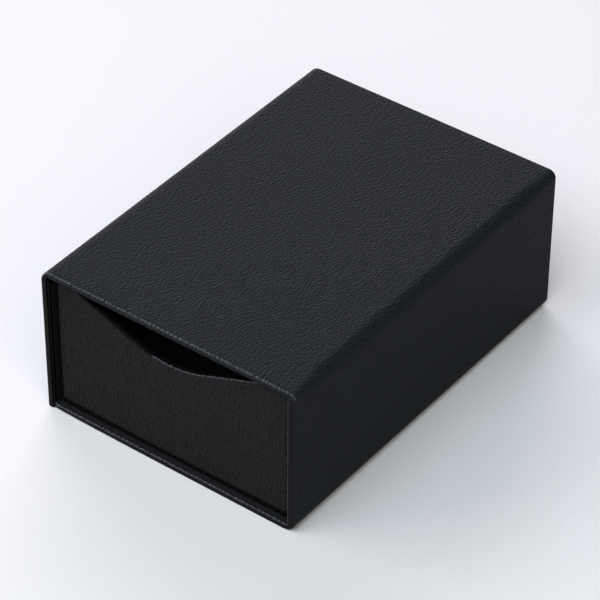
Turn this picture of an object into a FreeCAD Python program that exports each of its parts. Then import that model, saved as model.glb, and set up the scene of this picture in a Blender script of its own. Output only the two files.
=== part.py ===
import FreeCAD, Part
import math
import os

# A rigid gift box that opens like a drawer: a sleeve of greyboard panels wrapped in leatherette,
# open at both ends, and a tray that slides in it, with a thumb notch in its front wall.
# Millimetres. +Z is up, the drawer's front faces -Y, and the origin is the middle of the footprint
# on the table. The wrap of the sleeve runs left panel, top, right, base, and then turns up inside
# the left panel as a thin glue flap.

# ---- sleeve, outside ----
SLEEVE_W = 110.0
SLEEVE_D = 155.0
SLEEVE_H = 62.0
FOLD_R = 5.2           # outside radius of the top panel's two folds
BASE_FOLD_R = 5.6      # outside radius of the fold between the right panel and the base
FLAP_FOLD_R = 1.8      # outside radius of the fold from the base into the glue flap
FOOT_LIFT = 0.6        # how high the base's underside has risen where it meets the flap's fold
FOOT_RUN = 30.0        # length over which it rises
FOOT_BEND_R = 200.0    # radius of the bend where it begins to rise
INNER_R = 0.8          # radius of the wrap in the inside corners

# ---- sheets and boards ----
COVER_T = 0.3          # leatherette
BOARD_T = 2.3          # greyboard of the left, top and base panels
RIGHT_BOARD_T = 3.1    # greyboard of the right panel, which the whole wrap is drawn round
FLAP_BOARD_T = 0.9     # card in the glue flap
LINING_T = 0.3         # lining paper in the sleeve
ARRIS_R = 0.5          # how round the leatherette goes over a board's edge
ARRIS_SHARE = 0.4      # the same round is at most this share of a thin wall
FREE_EDGE_R = 0.7      # rounder still, over the left panel's free lower edge
TURN_IN = 15.0         # leatherette turned in at the sleeve's two mouths
EDGE_TURN_IN = 9.0     # leatherette turned over a free long edge
COVER_SPLIT_PAST = 1.0 # the base's leatherette is a node of its own from this far past its fold
LINING_MARGIN = 0.8    # how far the lining stops short of each mouth
FLAP_CLEAR = 1.2       # from the flap's free edge up to the top panel

# ---- drawer ----
DRAWER_RECESS = 2.2    # how far each end of the drawer sits inside the sleeve's mouth
SIDE_CLEAR = 0.95      # from the drawer to the lining, on each side
TOP_CLEAR = 0.7        # from the drawer's rim to the lining above it
RUN_CLEAR = 0.1        # under the drawer's base sheet
DRAWER_BOARD_T = 2.3
BASE_SHEET_T = 0.2     # paper that covers the drawer's underside
BASE_SHEET_MARGIN = 2.0
CORNER_R = 0.6         # upright corners of the drawer
DRAWER_TURN_IN = 12.0  # leatherette turned over the rim, and under the base
NOTCH_TURN_IN = 9.0    # leatherette turned in below the notch
STAY_T = 0.15          # gummed paper tape over each board corner
STAY_LEG = 14.0
STAY_END = 4.0         # from each end of a tape to the rim and to the underside
WALL_LINING_T = 0.25
WALL_LINING_DROP = 3.0
PAD_CARD_T = 1.0
SUEDE_T = 0.25
PAD_CLEAR = 0.4        # around the floor pad

# ---- thumb notch in the drawer's front wall ----
NOTCH_X = -1.1         # the notch's middle, a little left of the drawer's
NOTCH_HALF = 44.0      # half the notch's width at the rim
NOTCH_DEPTH = 13.05
NOTCH_SLOPE = math.radians(21.1)
NOTCH_FLARE_R = 14.4   # round shoulders where the notch runs out into the rim

# ---- worked out from the sizes above ----
WALL = COVER_T + BOARD_T
RIGHT_WALL = COVER_T + RIGHT_BOARD_T
FLAP_WALL = COVER_T + FLAP_BOARD_T
DRAWER_WALL = COVER_T + DRAWER_BOARD_T
LEFT = -SLEEVE_W / 2
RIGHT = SLEEVE_W / 2
FRONT = -SLEEVE_D / 2
BACK = SLEEVE_D / 2
SEAM_X = LEFT + WALL                     # glue line between the left panel and the flap
FLAP_X = SEAM_X + FLAP_WALL              # the flap's inside face
FLAP_TOP = SLEEVE_H - WALL - FLAP_CLEAR
INSIDE_RIGHT = RIGHT - RIGHT_WALL
INSIDE_TOP = SLEEVE_H - WALL
FOLD_END_X = RIGHT - max(BASE_FOLD_R, RIGHT_WALL + INNER_R)    # where the base is flat
COVER_SPLIT_X = FOLD_END_X - COVER_SPLIT_PAST
DRAWER_X0 = FLAP_X + LINING_T + SIDE_CLEAR
DRAWER_X1 = INSIDE_RIGHT - LINING_T - SIDE_CLEAR
DRAWER_Y0 = FRONT + DRAWER_RECESS
DRAWER_Y1 = BACK - DRAWER_RECESS
DRAWER_Z0 = WALL + LINING_T + RUN_CLEAR + BASE_SHEET_T
DRAWER_Z1 = INSIDE_TOP - LINING_T - TOP_CLEAR
FLOOR_Z = DRAWER_Z0 + DRAWER_BOARD_T     # top of the drawer's base board
DRAWER_MIDDLE = (DRAWER_X0 + DRAWER_X1) / 2    # in X
PAST = 5.0                               # how far a cutting solid runs past what it cuts
TOUCH = 1e-6                             # places closer than this are the same place


def rounded_wire(corners):
    """Closed wire in the XZ plane through corners (x, z, radius), each rounded by its radius."""
    points = [FreeCAD.Vector(x, 0, z) for x, z, _ in corners]
    ends = []
    for i, (_, _, radius) in enumerate(corners):
        here = points[i]
        if radius == 0:
            ends.append((here, here, here, 0))
            continue
        to_last = (points[i - 1] - here).normalize()
        to_next = (points[(i + 1) % len(points)] - here).normalize()
        half = to_last.getAngle(to_next) / 2
        run = radius / math.tan(half)
        centre = here + (to_last + to_next).normalize() * (radius / math.sin(half))
        middle = centre + (here - centre).normalize() * radius
        ends.append((here + to_last * run, middle, here + to_next * run, radius))
    edges = []
    for i, (start, middle, end, radius) in enumerate(ends):
        if radius > 0:
            edges.append(Part.Arc(start, middle, end).toShape())
        following = ends[(i + 1) % len(ends)][0]
        if end.distanceToPoint(following) > TOUCH:
            edges.append(Part.LineSegment(end, following).toShape())
    return Part.Wire(edges)


def prism(corners, y0, y1):
    """Solid between y0 and y1 whose section is the rounded outline of the corners."""
    section = Part.Face(rounded_wire(corners))
    section.translate(FreeCAD.Vector(0, y0, 0))
    return section.extrude(FreeCAD.Vector(0, y1 - y0, 0))


def block(x0, x1, y0, y1, z0, z1):
    """Box between the given limits."""
    return Part.makeBox(x1 - x0, y1 - y0, z1 - z0, FreeCAD.Vector(x0, y0, z0))


def edge_radius(wall):
    """Arris radius over a board's edge, which a thin wall limits."""
    return min(ARRIS_R, ARRIS_SHARE * wall)


def mouth_edges(shape, keep_out):
    """Edges that lie in the sleeve's two end planes, without those that keep_out picks."""
    found = []
    for edge in shape.Edges:
        box = edge.BoundBox
        in_plane = box.YLength < TOUCH and min(abs(box.YMin - FRONT), abs(box.YMin - BACK)) < TOUCH
        if in_plane and not keep_out(box):
            found.append(edge)
    return found


# ---- sleeve ----

def wrap_outline(inset, inner, turned_up):
    """Section of the left, top and right panels: its outside faces and its free lower edge lie
    inset deep, and its inside faces inner deep, but only inset deep up to the height turned_up."""
    free_r = FREE_EDGE_R - inset
    inside_r = INNER_R + inner
    corners = [
        (LEFT + inset, inset, free_r),
        (LEFT + inset, SLEEVE_H - inset, FOLD_R - inset),
        (RIGHT - inset, SLEEVE_H - inset, FOLD_R - inset),
        (RIGHT - inset, inset, BASE_FOLD_R - inset),
        (COVER_SPLIT_X, inset, 0),
        (COVER_SPLIT_X, WALL - inner, 0),
        (INSIDE_RIGHT + inner, WALL - inner, inside_r),
        (INSIDE_RIGHT + inner, INSIDE_TOP + inner, inside_r),
        (SEAM_X - inner, INSIDE_TOP + inner, inside_r),
    ]
    if turned_up:
        corners += [(SEAM_X - inner, turned_up, 0), (SEAM_X - COVER_T, turned_up, 0)]
    corners.append((SEAM_X - inset, inset, free_r))
    return corners


def base_outline(inset, inner, turned_down):
    """Section of the base panel and the glue flap, with its faces laid as in wrap_outline. The
    leatherette turned over the flap's free edge ends turned_down below that edge."""
    free_r = max(edge_radius(FLAP_WALL) - inset, 0)
    corners = [
        (COVER_SPLIT_X, inset, 0),
        (SEAM_X + FOOT_RUN, inset, FOOT_BEND_R),
        (SEAM_X + inset, FOOT_LIFT + inset, FLAP_FOLD_R - inset),
        (SEAM_X + inset, FLAP_TOP - inset, free_r),
        (FLAP_X - inset, FLAP_TOP - inset, free_r),
    ]
    if turned_down:
        end = FLAP_TOP - turned_down
        corners += [(FLAP_X - COVER_T, end, 0), (FLAP_X - inner, end, 0)]
    corners += [(FLAP_X - inner, WALL - inner, INNER_R + inner), (COVER_SPLIT_X, WALL - inner, 0)]
    return corners


def wrapped(outline, lap, radius):
    """(whole, core): a wrapped wall with rounded mouth edges, and the board space inside it. The
    leatherette covers the outside, the mouth edges and the first TURN_IN of the inside."""
    whole = prism(outline(0, 0, None), FRONT, BACK)
    split = COVER_SPLIT_X
    edges = mouth_edges(whole, lambda box: box.XLength < TOUCH and abs(box.XMin - split) < TOUCH)
    whole = whole.makeFillet(radius, edges)
    at_mouths = prism(outline(COVER_T, COVER_T, None), FRONT + COVER_T, BACK - COVER_T)
    between = prism(outline(COVER_T, 0, lap), FRONT + TURN_IN, BACK - TURN_IN)
    return whole, at_mouths.fuse(between).removeSplitter()


def panel_regions():
    """Section of each panel, out to the mitres that it shares with its neighbours."""
    outer = {"lb": (LEFT, 0), "lt": (LEFT, SLEEVE_H), "rt": (RIGHT, SLEEVE_H), "rb": (RIGHT, 0)}
    inner = {"lt": (SEAM_X, INSIDE_TOP), "rt": (INSIDE_RIGHT, INSIDE_TOP),
             "rb": (INSIDE_RIGHT, WALL)}
    seam_foot = (SEAM_X, 0)
    flap_foot = (FLAP_X, WALL)
    return {
        "sleeve_left_board": [outer["lb"], outer["lt"], inner["lt"], seam_foot],
        "sleeve_top_board": [outer["lt"], outer["rt"], inner["rt"], inner["lt"]],
        "sleeve_right_board": [outer["rt"], outer["rb"], inner["rb"], inner["rt"]],
        "sleeve_base_board": [outer["rb"], seam_foot, flap_foot, inner["rb"]],
        "sleeve_flap_board": [seam_foot, (SEAM_X, FLAP_TOP), (FLAP_X, FLAP_TOP), flap_foot],
    }


def sleeve():
    """Boards, leatherette and lining of the sleeve."""
    wrap, wrap_core = wrapped(wrap_outline, EDGE_TURN_IN, edge_radius(WALL))
    base, base_core = wrapped(base_outline, EDGE_TURN_IN, edge_radius(FLAP_WALL))
    boards = wrap_core.fuse(base_core)
    parts = {}
    for name, region in panel_regions().items():
        space = prism([(x, z, 0) for x, z in region], FRONT, BACK)
        core = base_core if name == "sleeve_flap_board" else boards
        if name == "sleeve_left_board":
            core = wrap_core
        parts[name] = core.common(space)
    parts["sleeve_cover"] = wrap.cut(wrap_core)
    base_skin = base.cut(base_core)
    above = block(SEAM_X - PAST, COVER_SPLIT_X + PAST, FRONT, BACK, WALL, SLEEVE_H)
    parts["sleeve_base_cover"] = base_skin.cut(above)
    parts["sleeve_flap_cover"] = base_skin.common(above)
    parts["sleeve_lining"] = sleeve_lining()
    return parts


def sleeve_lining():
    """Lining paper on the inside of the flap, the base, the right panel and the top."""
    paper = LINING_T
    corners = [
        (FLAP_X, FLAP_TOP - FLAP_CLEAR, 0),
        (FLAP_X, WALL, INNER_R),
        (INSIDE_RIGHT, WALL, INNER_R),
        (INSIDE_RIGHT, INSIDE_TOP, INNER_R),
        (FLAP_X, INSIDE_TOP, 0),
        (FLAP_X, INSIDE_TOP - paper, 0),
        (INSIDE_RIGHT - paper, INSIDE_TOP - paper, INNER_R - paper),
        (INSIDE_RIGHT - paper, WALL + paper, INNER_R - paper),
        (FLAP_X + paper, WALL + paper, INNER_R - paper),
        (FLAP_X + paper, FLAP_TOP - FLAP_CLEAR, 0),
    ]
    return prism(corners, FRONT + LINING_MARGIN, BACK - LINING_MARGIN)


# ---- drawer ----

def drawer_block(inset, z0, z1):
    """Box with the drawer's footprint, each side drawn in by inset."""
    return block(DRAWER_X0 + inset, DRAWER_X1 - inset, DRAWER_Y0 + inset, DRAWER_Y1 - inset, z0, z1)


def notch(grow):
    """Prism that cuts the thumb notch through the front wall, with its edge moved grow outwards.
    Its outline is a wide V with a hollow foot and round shoulders. The hollow and a shoulder meet
    the straight slope between them, and the hollow is as round as the depth and the width leave."""
    rise = math.tan(NOTCH_SLOPE)
    run_out = NOTCH_FLARE_R * math.tan(NOTCH_SLOPE / 2)
    half = NOTCH_HALF - run_out
    sharp_depth = half * rise
    hollow_r = (sharp_depth - NOTCH_DEPTH) / (1 / math.cos(NOTCH_SLOPE) - 1)
    rim_z = DRAWER_Z1 - grow
    foot_z = DRAWER_Z1 - sharp_depth - grow / math.cos(NOTCH_SLOPE)
    half = (rim_z - foot_z) / rise
    ear = half + NOTCH_FLARE_R
    outline = [
        (NOTCH_X - half, rim_z, max(NOTCH_FLARE_R - grow, 0)),
        (NOTCH_X, foot_z, hollow_r + grow),
        (NOTCH_X + half, rim_z, max(NOTCH_FLARE_R - grow, 0)),
        (NOTCH_X + ear, rim_z, 0),
        (NOTCH_X + ear, DRAWER_Z1 + PAST, 0),
        (NOTCH_X - ear, DRAWER_Z1 + PAST, 0),
        (NOTCH_X - ear, rim_z, 0),
    ]
    return prism(outline, DRAWER_Y0 - PAST, DRAWER_Y0 + DRAWER_WALL + PAST)


def upright_edges(shape, x_planes, y_planes):
    """Upright edges that stand on the corners of the given planes."""
    found = []
    for edge in shape.Edges:
        box = edge.BoundBox
        upright = box.XLength < TOUCH and box.YLength < TOUCH
        on_x = min(abs(box.XMin - x) for x in x_planes) < TOUCH
        on_y = min(abs(box.YMin - y) for y in y_planes) < TOUCH
        if upright and on_x and on_y:
            found.append(edge)
    return found


def rim_edges(shape):
    """Edges round the drawer's rim and along the notch, on the walls' outside and inside faces.
    The joints between the notch's own faces, which cross the wall, are left out."""
    lowest = DRAWER_Z1 - NOTCH_DEPTH - TOUCH
    found = []
    for edge in shape.Edges:
        box = edge.BoundBox
        crosses = box.XLength < TOUCH and abs(box.YLength - DRAWER_WALL) < TOUCH
        if box.ZMin > lowest and not crosses:
            found.append(edge)
    return found


def rounded_block(inset, corner_r, z0, z1):
    """drawer_block with round upright corners."""
    shape = drawer_block(inset, z0, z1)
    box = shape.BoundBox
    corners = upright_edges(shape, (box.XMin, box.XMax), (box.YMin, box.YMax))
    return shape.makeFillet(corner_r, corners)


def foot_edges(shape):
    """Edges round the outside of the drawer's underside."""
    sides = (("XMin", DRAWER_X0), ("XMax", DRAWER_X1), ("YMin", DRAWER_Y0), ("YMax", DRAWER_Y1))
    return [edge for edge in shape.Edges
            if edge.BoundBox.ZMax < DRAWER_Z0 + TOUCH
            and any(abs(getattr(edge.BoundBox, side) - place) < TOUCH for side, place in sides)]


def drawer_walls():
    """The four walls as one wrapped ring, with the notch, rounded as the leatherette leaves it."""
    ring = rounded_block(0, CORNER_R, DRAWER_Z0, DRAWER_Z1)
    ring = ring.cut(rounded_block(DRAWER_WALL, CORNER_R, DRAWER_Z0 - PAST, DRAWER_Z1 + PAST))
    ring = ring.cut(notch(0)).removeSplitter()
    ring = ring.makeFillet(edge_radius(DRAWER_WALL), rim_edges(ring))
    return ring.makeFillet(edge_radius(DRAWER_WALL), foot_edges(ring))


def corner_stays():
    """Four L-shaped paper tapes, let into the outside of the boards at the drawer's corners."""
    z0 = DRAWER_Z0 + STAY_END
    z1 = DRAWER_Z1 - STAY_END
    skin = drawer_block(COVER_T, z0, z1).cut(drawer_block(COVER_T + STAY_T, z0, z1))
    reach = COVER_T + STAY_LEG
    tapes = []
    for x0, x1 in ((DRAWER_X0, DRAWER_X0 + reach), (DRAWER_X1 - reach, DRAWER_X1)):
        for y0, y1 in ((DRAWER_Y0, DRAWER_Y0 + reach), (DRAWER_Y1 - reach, DRAWER_Y1)):
            tapes.append(skin.common(block(x0, x1, y0, y1, z0, z1)).cut(notch(WALL_LINING_DROP)))
    return Part.makeCompound(tapes)


def drawer_boards(stays):
    """Four wall boards and the base board between them, with shallow beds for the leatherette that
    is turned over the rim, round the notch and under the base."""
    top = DRAWER_Z1 - COVER_T
    bottom = DRAWER_Z0 + COVER_T
    inside = drawer_block(DRAWER_WALL, DRAWER_Z0 - PAST, DRAWER_Z1 + PAST)
    bed = drawer_block(DRAWER_WALL - COVER_T, DRAWER_Z0, DRAWER_Z1 + PAST)
    turned = block(DRAWER_X0, DRAWER_X1, DRAWER_Y0, DRAWER_Y1, DRAWER_Z1 - DRAWER_TURN_IN,
                   DRAWER_Z1 + PAST).fuse(notch(NOTCH_TURN_IN))
    ring = drawer_block(COVER_T, bottom, top).cut(inside).cut(bed.common(turned))
    ring = ring.cut(notch(COVER_T)).cut(stays)
    under = drawer_block(DRAWER_TURN_IN, DRAWER_Z0, bottom)
    base = drawer_block(DRAWER_WALL, bottom, FLOOR_Z).fuse(under).removeSplitter()
    y_in = (DRAWER_Y0 + DRAWER_WALL, DRAWER_Y1 - DRAWER_WALL)
    spans = {
        "drawer_front_board": (DRAWER_X0, DRAWER_X1, DRAWER_Y0, y_in[0]),
        "drawer_back_board": (DRAWER_X0, DRAWER_X1, y_in[1], DRAWER_Y1),
        "drawer_left_board": (DRAWER_X0, DRAWER_MIDDLE, y_in[0], y_in[1]),
        "drawer_right_board": (DRAWER_MIDDLE, DRAWER_X1, y_in[0], y_in[1]),
    }
    parts = {name: ring.common(block(*span, DRAWER_Z0, DRAWER_Z1)) for name, span in spans.items()}
    parts["drawer_base_board"] = base
    return parts


def wall_lining():
    """Strip of lining paper round the inside of the drawer, short of the rim and the notch."""
    top = DRAWER_Z1 - WALL_LINING_DROP
    strip = rounded_block(DRAWER_WALL, CORNER_R, FLOOR_Z, top)
    strip = strip.cut(drawer_block(DRAWER_WALL + WALL_LINING_T, FLOOR_Z, top))
    return strip.cut(notch(WALL_LINING_DROP))


def floor_pad():
    """Loose card that lies on the drawer's base, with suede paper over its top and edges."""
    side = DRAWER_WALL + WALL_LINING_T + PAD_CLEAR
    card = drawer_block(side + SUEDE_T, FLOOR_Z, FLOOR_Z + PAD_CARD_T)
    suede = drawer_block(side, FLOOR_Z, FLOOR_Z + PAD_CARD_T + SUEDE_T).cut(card)
    return {"drawer_floor_card": card, "drawer_floor_suede": suede}


def drawer():
    """Boards, corner tapes, leatherette, lining and floor pad of the drawer."""
    stays = corner_stays()
    parts = drawer_boards(stays)
    boards = Part.makeCompound(list(parts.values()))
    turned_under = drawer_block(COVER_T, DRAWER_Z0, DRAWER_Z0 + COVER_T)
    turned_under = turned_under.cut(drawer_block(DRAWER_TURN_IN, DRAWER_Z0, DRAWER_Z0 + COVER_T))
    turned_under = turned_under.common(drawer_block(DRAWER_WALL, DRAWER_Z0, DRAWER_Z1))
    cover = drawer_walls().fuse(turned_under).cut(boards).cut(stays)
    parts["drawer_cover"] = cover.removeSplitter()
    parts["drawer_corner_stays"] = stays
    parts["drawer_base_sheet"] = drawer_block(BASE_SHEET_MARGIN, DRAWER_Z0 - BASE_SHEET_T,
                                              DRAWER_Z0)
    parts["drawer_wall_lining"] = wall_lining()
    parts.update(floor_pad())
    return parts


def main():
    os.makedirs("parts", exist_ok=True)
    for name, shape in {**sleeve(), **drawer()}.items():
        solids = shape.Solids
        whole = solids[0] if len(solids) == 1 else Part.makeCompound(solids)
        whole.exportStep(f"parts/{name}.step")
        box = whole.BoundBox
        print(f"{name}: {len(solids)} solid(s), {whole.Volume:.0f} mm3, valid {whole.isValid()}, "
              f"{box.XLength:.2f} x {box.YLength:.2f} x {box.ZLength:.2f} mm")


main()
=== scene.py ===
# %% [markdown]
# # A gift box that opens like a drawer
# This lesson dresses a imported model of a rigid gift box: a sleeve wrapped in black leatherette,
# and a tray with a thumb notch that slides in it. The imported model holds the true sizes, so it is
# loaded first and stays as it is. Everything made here is placed from it, in metres.

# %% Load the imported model
import math

import bmesh
import bpy
import numpy as np
from mathutils import Matrix, Vector


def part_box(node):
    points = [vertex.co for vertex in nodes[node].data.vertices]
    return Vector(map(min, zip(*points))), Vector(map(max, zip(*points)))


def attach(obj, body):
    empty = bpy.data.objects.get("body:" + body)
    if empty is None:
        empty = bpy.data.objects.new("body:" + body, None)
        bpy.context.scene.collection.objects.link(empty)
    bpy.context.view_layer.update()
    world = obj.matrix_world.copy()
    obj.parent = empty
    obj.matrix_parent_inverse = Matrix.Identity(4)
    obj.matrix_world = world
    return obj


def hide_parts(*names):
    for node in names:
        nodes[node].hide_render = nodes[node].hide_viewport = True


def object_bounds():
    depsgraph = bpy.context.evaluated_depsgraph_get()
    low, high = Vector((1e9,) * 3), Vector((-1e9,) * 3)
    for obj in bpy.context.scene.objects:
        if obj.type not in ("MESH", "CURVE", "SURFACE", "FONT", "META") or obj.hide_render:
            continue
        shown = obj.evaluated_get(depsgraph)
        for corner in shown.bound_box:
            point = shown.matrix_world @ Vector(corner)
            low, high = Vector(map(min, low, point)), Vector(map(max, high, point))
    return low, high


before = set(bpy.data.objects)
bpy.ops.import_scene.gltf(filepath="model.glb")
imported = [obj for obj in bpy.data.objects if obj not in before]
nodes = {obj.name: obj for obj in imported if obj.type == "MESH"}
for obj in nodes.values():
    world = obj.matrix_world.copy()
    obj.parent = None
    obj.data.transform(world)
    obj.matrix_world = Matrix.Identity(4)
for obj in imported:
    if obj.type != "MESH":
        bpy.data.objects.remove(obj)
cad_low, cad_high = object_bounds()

# %% [markdown]
# ## Sizes
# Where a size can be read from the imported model, it is: the box of a node gives a wall or a
# clearance, and a change to the model then carries through.

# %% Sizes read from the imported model
MM = 0.001                                   # a millimetre, in metres
LEFT, FRONT, GROUND = cad_low
RIGHT, BACK, TOP = cad_high
SEAM_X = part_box("sleeve_flap_cover")[0].x    # the left panel's inside and the flap meet here
FLAP_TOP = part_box("sleeve_flap_cover")[1].z
FLAP_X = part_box("sleeve_lining")[0].x        # the flap's face, under the lining
INSIDE_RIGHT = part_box("sleeve_lining")[1].x
BASE_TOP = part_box("sleeve_lining")[0].z
INSIDE_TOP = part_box("sleeve_lining")[1].z
TRAY_LOW, TRAY_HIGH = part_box("drawer_cover")
TRAY_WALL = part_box("drawer_wall_lining")[0].x - TRAY_LOW.x
PAD_LOW, PAD_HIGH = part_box("drawer_floor_suede")
print(f"sleeve wall {(SEAM_X - LEFT) / MM:.2f} mm, right wall {(RIGHT - INSIDE_RIGHT) / MM:.2f} mm, "
      f"flap {(FLAP_X - SEAM_X) / MM:.2f} mm, tray wall {TRAY_WALL / MM:.2f} mm")

# %% [markdown]
# A box doesn't show its radii in its outer size, so they are written out, in millimetres, as a
# box maker would say them. A fold's radius depends on the board and on how hard it was pressed:
# the top folds are round, but the right one was pressed sharp at the mouths, where the sheet is
# turned in, and the base fold gets tighter towards the back. One radius all along would be
# simpler, but such small changes make the light along an edge come and go, as on a real box.

# %% Sizes of the sleeve's wrap
LEATHERETTE = 0.3 * MM    # how thick the sheet is
FOLD_R = 4.6 * MM         # the top panel's two folds
MOUTH_FOLD_R = 1.8 * MM   # the right one where it is pressed sharp, at the mouths
MOUTH_FADE = 20 * MM      # length over which it opens out
BACK_EASE = 0.45          # how much less it is pressed at the back mouth
BASE_FOLD_R = 4.1 * MM    # the fold from the right panel to the base, at the back
BASE_FRONT_R = 5.5 * MM   # the same at the front
FLAP_FOLD_R = 1.8 * MM    # the fold from the base into the glue flap
FOOT_R = 0.7 * MM         # over the left panel's free lower edge
INNER_R = 0.8 * MM        # in the inside corners
ARRIS_R = 0.48 * MM       # over a board's cut edge
TURN_IN = 15 * MM         # turned in at the sleeve's mouths
EDGE_TURN_IN = 9 * MM     # turned over a free long edge
SEAM_GAP = 0.04 * MM      # air in the seam between the left panel and the flap
SEAM_OPEN = 0.58 * MM     # how wide the flap's rounded edge opens the seam at its foot
BASE_LIFT = 0.86 * MM     # how high the base's underside stands off the table at the flap's fold
LIFT_FADE = 18 * MM       # length over which that falls to about a third
LIFT_END = 8 * MM         # height up the flap over which it ends
BOW = 0.12 * MM           # how far the panels are drawn in at their middles
print(f"top folds {FOLD_R / MM} mm, pressed to {MOUTH_FOLD_R / MM} mm at the front mouth")

# %% Sizes of the tray's wrap
TRAY_CORNER_R = 1.0 * MM  # the tray's upright corners
TRAY_FOOT_R = 0.4 * MM    # round the tray's lower edges
TRAY_TURN_IN = 12 * MM    # turned over the tray's rim, and under its base
NOTCH_TURN_IN = 9 * MM    # turned in below the notch
TURN_FADE = 3 * MM        # depth of notch by which the turn-in has changed
NOTCH_X = -1.1 * MM       # the notch's middle
NOTCH_HALF = 44.0 * MM    # half the notch's width at the rim
NOTCH_DEPTH = 13.05 * MM
NOTCH_SLOPE = math.radians(21.1)
NOTCH_FLARE_R = 14.4 * MM # round shoulders where the notch runs out
NOTCH_ARRIS_R = 1.0 * MM  # the notch's outer edge on its left, where the snipped sheet is rounder
LIP_X = -6.5 * MM         # from here to the right the sheet is drawn tight over the notch's edge
LIP_FADE = 8 * MM         # length over which the rounder edge becomes the tight one
RIM_FADE = 2 * MM         # depth of notch by which the edge has got rounder
print(f"notch {2 * NOTCH_HALF / MM:.0f} mm wide and {NOTCH_DEPTH / MM:.2f} mm deep")

# %% [markdown]
# ## Tools for materials
# A colour is written as the hex value that a picker shows, which is sRGB, but a shader counts
# light, which is linear. One function turns the first into the second. Another adds a shader
# node with its settings and its links, so that a material reads as a list of what it is made of.

# %% Colour and node helpers
def linear(hexcode):
    """Linear RGBA of an sRGB hex colour: a straight line below 0.04045, a 2.4 power above it."""
    srgb = np.array([int(hexcode[i:i + 2], 16) for i in (1, 3, 5)]) / 255
    light = np.where(srgb <= 0.04045, srgb / 12.92, ((srgb + 0.055) / 1.055) ** 2.4)
    return (*light.tolist(), 1.0)


def add(tree, kind, settings=None, links=None):
    """Adds a shader node. settings maps a property or an input to its value, and "stops" to a
    colour ramp's pairs of (place, hex colour). links maps an input to the (node, output) that
    feeds it."""
    made = tree.nodes.new("ShaderNode" + kind)
    for name, value in (settings or {}).items():
        if name == "stops":
            for stop, (place, colour) in zip(made.color_ramp.elements, value):
                stop.position = place
                stop.color = linear(colour)
        elif isinstance(name, str) and name in made.bl_rna.properties:
            setattr(made, name, value)
        else:
            made.inputs[name].default_value = value
    for name, (source, output) in (links or {}).items():
        tree.links.new(source.outputs[output], made.inputs[name])
    return made


def new_material(name):
    """Material with an empty tree: returns the material, its tree and its Principled shader."""
    made = bpy.data.materials.new(name)
    made.use_nodes = True
    made.node_tree.nodes.clear()
    shader = add(made.node_tree, "BsdfPrincipled")
    add(made.node_tree, "OutputMaterial", links={"Surface": (shader, "BSDF")})
    return made, made.node_tree, shader


print("a mid grey, #808080, is linear", round(linear("#808080")[0], 3))

# %% [markdown]
# ## Black leatherette
# The wrap is leatherette: paper or cloth with a skin of black PVC, which a steel roller embosses
# with a leather grain. The skin is satin, so each wrinkle shows as a soft light and dark pair.
# An image could hold the grain, and so could a pattern in space, but real wrinkles belong to the
# sheet and turn with it at each fold. So the pattern is drawn on the flat sheet, whose places the
# wraps carry as a UV map in metres. It has four layers. A noise sways the places a little. Waves
# that keep in step in small groups, which the Gabor texture gives, are the wrinkles. Round cells
# pinch them, and a finer noise gives the pores.

# %% Leatherette
WRINKLE = 1.5             # from one wrinkle to the next, in mm
WAVES = 1.3               # wrinkles in a group that keeps in step
ORDER = 0.65              # 1 would make all groups run the same way
ORIENTATION = 4           # the Gabor node has two inputs called so; this is the one for 2D
SWAY = 2.857              # length of a sway, in mm
SWAY_REACH = 1.6          # how far it moves the wrinkles, in mm
CELL = 0.8696             # width of a cell, in mm
CELL_DEPTH = 0.3          # beside the wrinkles' 1
PORE = 0.3333             # width of a pore, in mm, drawn coarser than real so that it shows
PORE_DEPTH = 0.12         # beside the wrinkles' 1
MID_SKIN = 0.45           # the skin's middle height, on the same scale


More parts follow.
